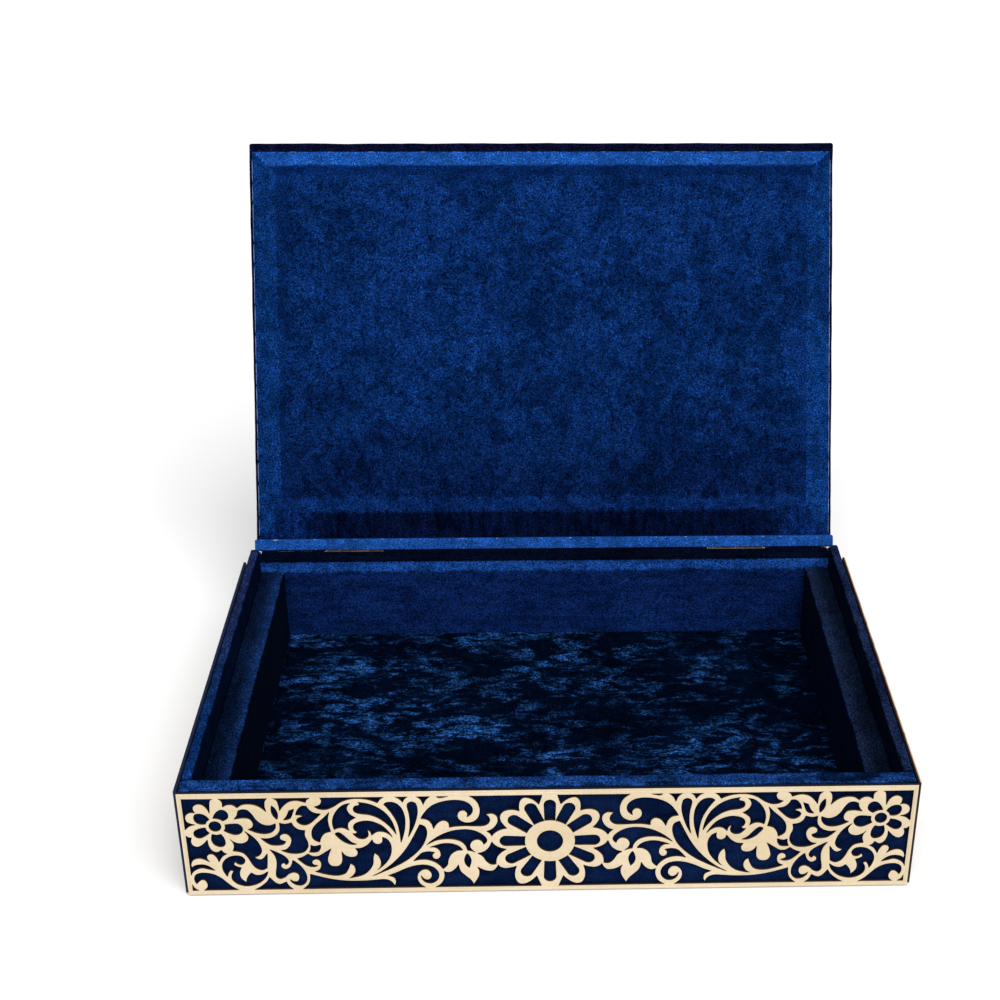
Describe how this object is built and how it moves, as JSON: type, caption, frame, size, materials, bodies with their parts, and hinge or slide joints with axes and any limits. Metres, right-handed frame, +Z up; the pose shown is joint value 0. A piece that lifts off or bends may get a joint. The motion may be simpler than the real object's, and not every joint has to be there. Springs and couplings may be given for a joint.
{
  "type": "quran box",
  "caption": "Flat velvet-covered case with a hinged, padded lid, side ledges inside and gold floral fretwork plates on its front and short sides.",
  "frame": {"origin": "middle of the underside of the box body, in the plane it stands on", "axes": "+Z up, +X to the right as seen from the front, -Y towards the front with the large fretwork plate"},
  "size_m": [0.32, 0.326, 0.2474],
  "materials": {
    "velvet": "royal blue velvet",
    "crushed_velvet": "crushed royal blue velvet",
    "felt": "dark felt",
    "board": "plain board",
    "gold_plate": "pale gold, semi-gloss",
    "hinge_brass": "plain brass"
  },
  "bodies": {
    "box": {"base_felt": "felt", "base_board": "board", "floor_pad": "crushed_velvet", "front_wall_cover": "velvet", "front_wall_board": "board", "left_wall_cover": "velvet", "left_wall_board": "board", "right_wall_cover": "velvet", "right_wall_board": "board", "back_wall_cover": "velvet", "back_wall_board": "board", "left_ledge_cover": "velvet", "left_ledge_core": "board", "right_ledge_cover": "velvet", "right_ledge_core": "board", "front_fret_panel": "gold_plate", "left_fret_panel": "gold_plate", "right_fret_panel": "gold_plate", "left_hinge_box_leaf": "hinge_brass", "right_hinge_box_leaf": "hinge_brass", "left_hinge_pin": "hinge_brass", "right_hinge_pin": "hinge_brass", "left_box_screw_1": "hinge_brass", "left_box_screw_2": "hinge_brass", "right_box_screw_1": "hinge_brass", "right_box_screw_2": "hinge_brass"},
    "lid": {"lid_velvet_cover": "velvet", "lid_board": "board", "lid_spine_board": "board", "lid_lining_pad": "crushed_velvet", "lid_medallion": "gold_plate", "left_hinge_lid_leaf": "hinge_brass", "right_hinge_lid_leaf": "hinge_brass", "left_lid_screw_1": "hinge_brass", "left_lid_screw_2": "hinge_brass", "right_lid_screw_1": "hinge_brass", "right_lid_screw_2": "hinge_brass"}
  },
  "joints": [
    {"name": "lid_hinge", "type": "hinge", "parent": "box", "child": "lid", "pos_m": [0, 0.1106, 0.0489], "axis": [1, 0, 0], "range_deg": [0, 114]}
  ]
}
